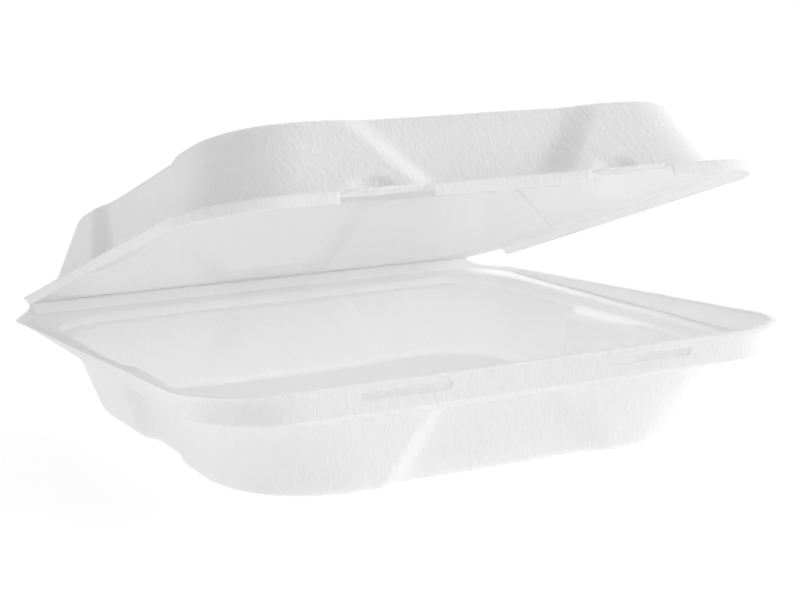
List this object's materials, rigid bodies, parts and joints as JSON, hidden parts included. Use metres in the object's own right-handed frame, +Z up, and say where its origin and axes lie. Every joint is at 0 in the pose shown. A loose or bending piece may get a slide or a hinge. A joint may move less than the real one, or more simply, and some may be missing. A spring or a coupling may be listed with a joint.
{
  "type": "bagasse lunch box",
  "caption": "Square hinged lunch box moulded in pulp, with a raised rim, recessed wall panels, lock slots and a domed lid.",
  "frame": {"origin": "middle of the tray's underside, on the table", "axes": "+X along the hinge, +Y from the front to the hinge, +Z up"},
  "size_m": [0.23, 0.2281, 0.1205],
  "materials": {
    "pulp": "matte moulded sugar cane pulp"
  },
  "bodies": {
    "tray": {"base": "pulp"},
    "cover": {"lid": "pulp"}
  },
  "joints": [
    {"name": "lid_hinge", "type": "hinge", "parent": "tray", "child": "cover", "pos_m": [0, 0.1145, 0.0372], "axis": [1, 0, 0], "range_deg": [-163.4, 16.6]}
  ]
}
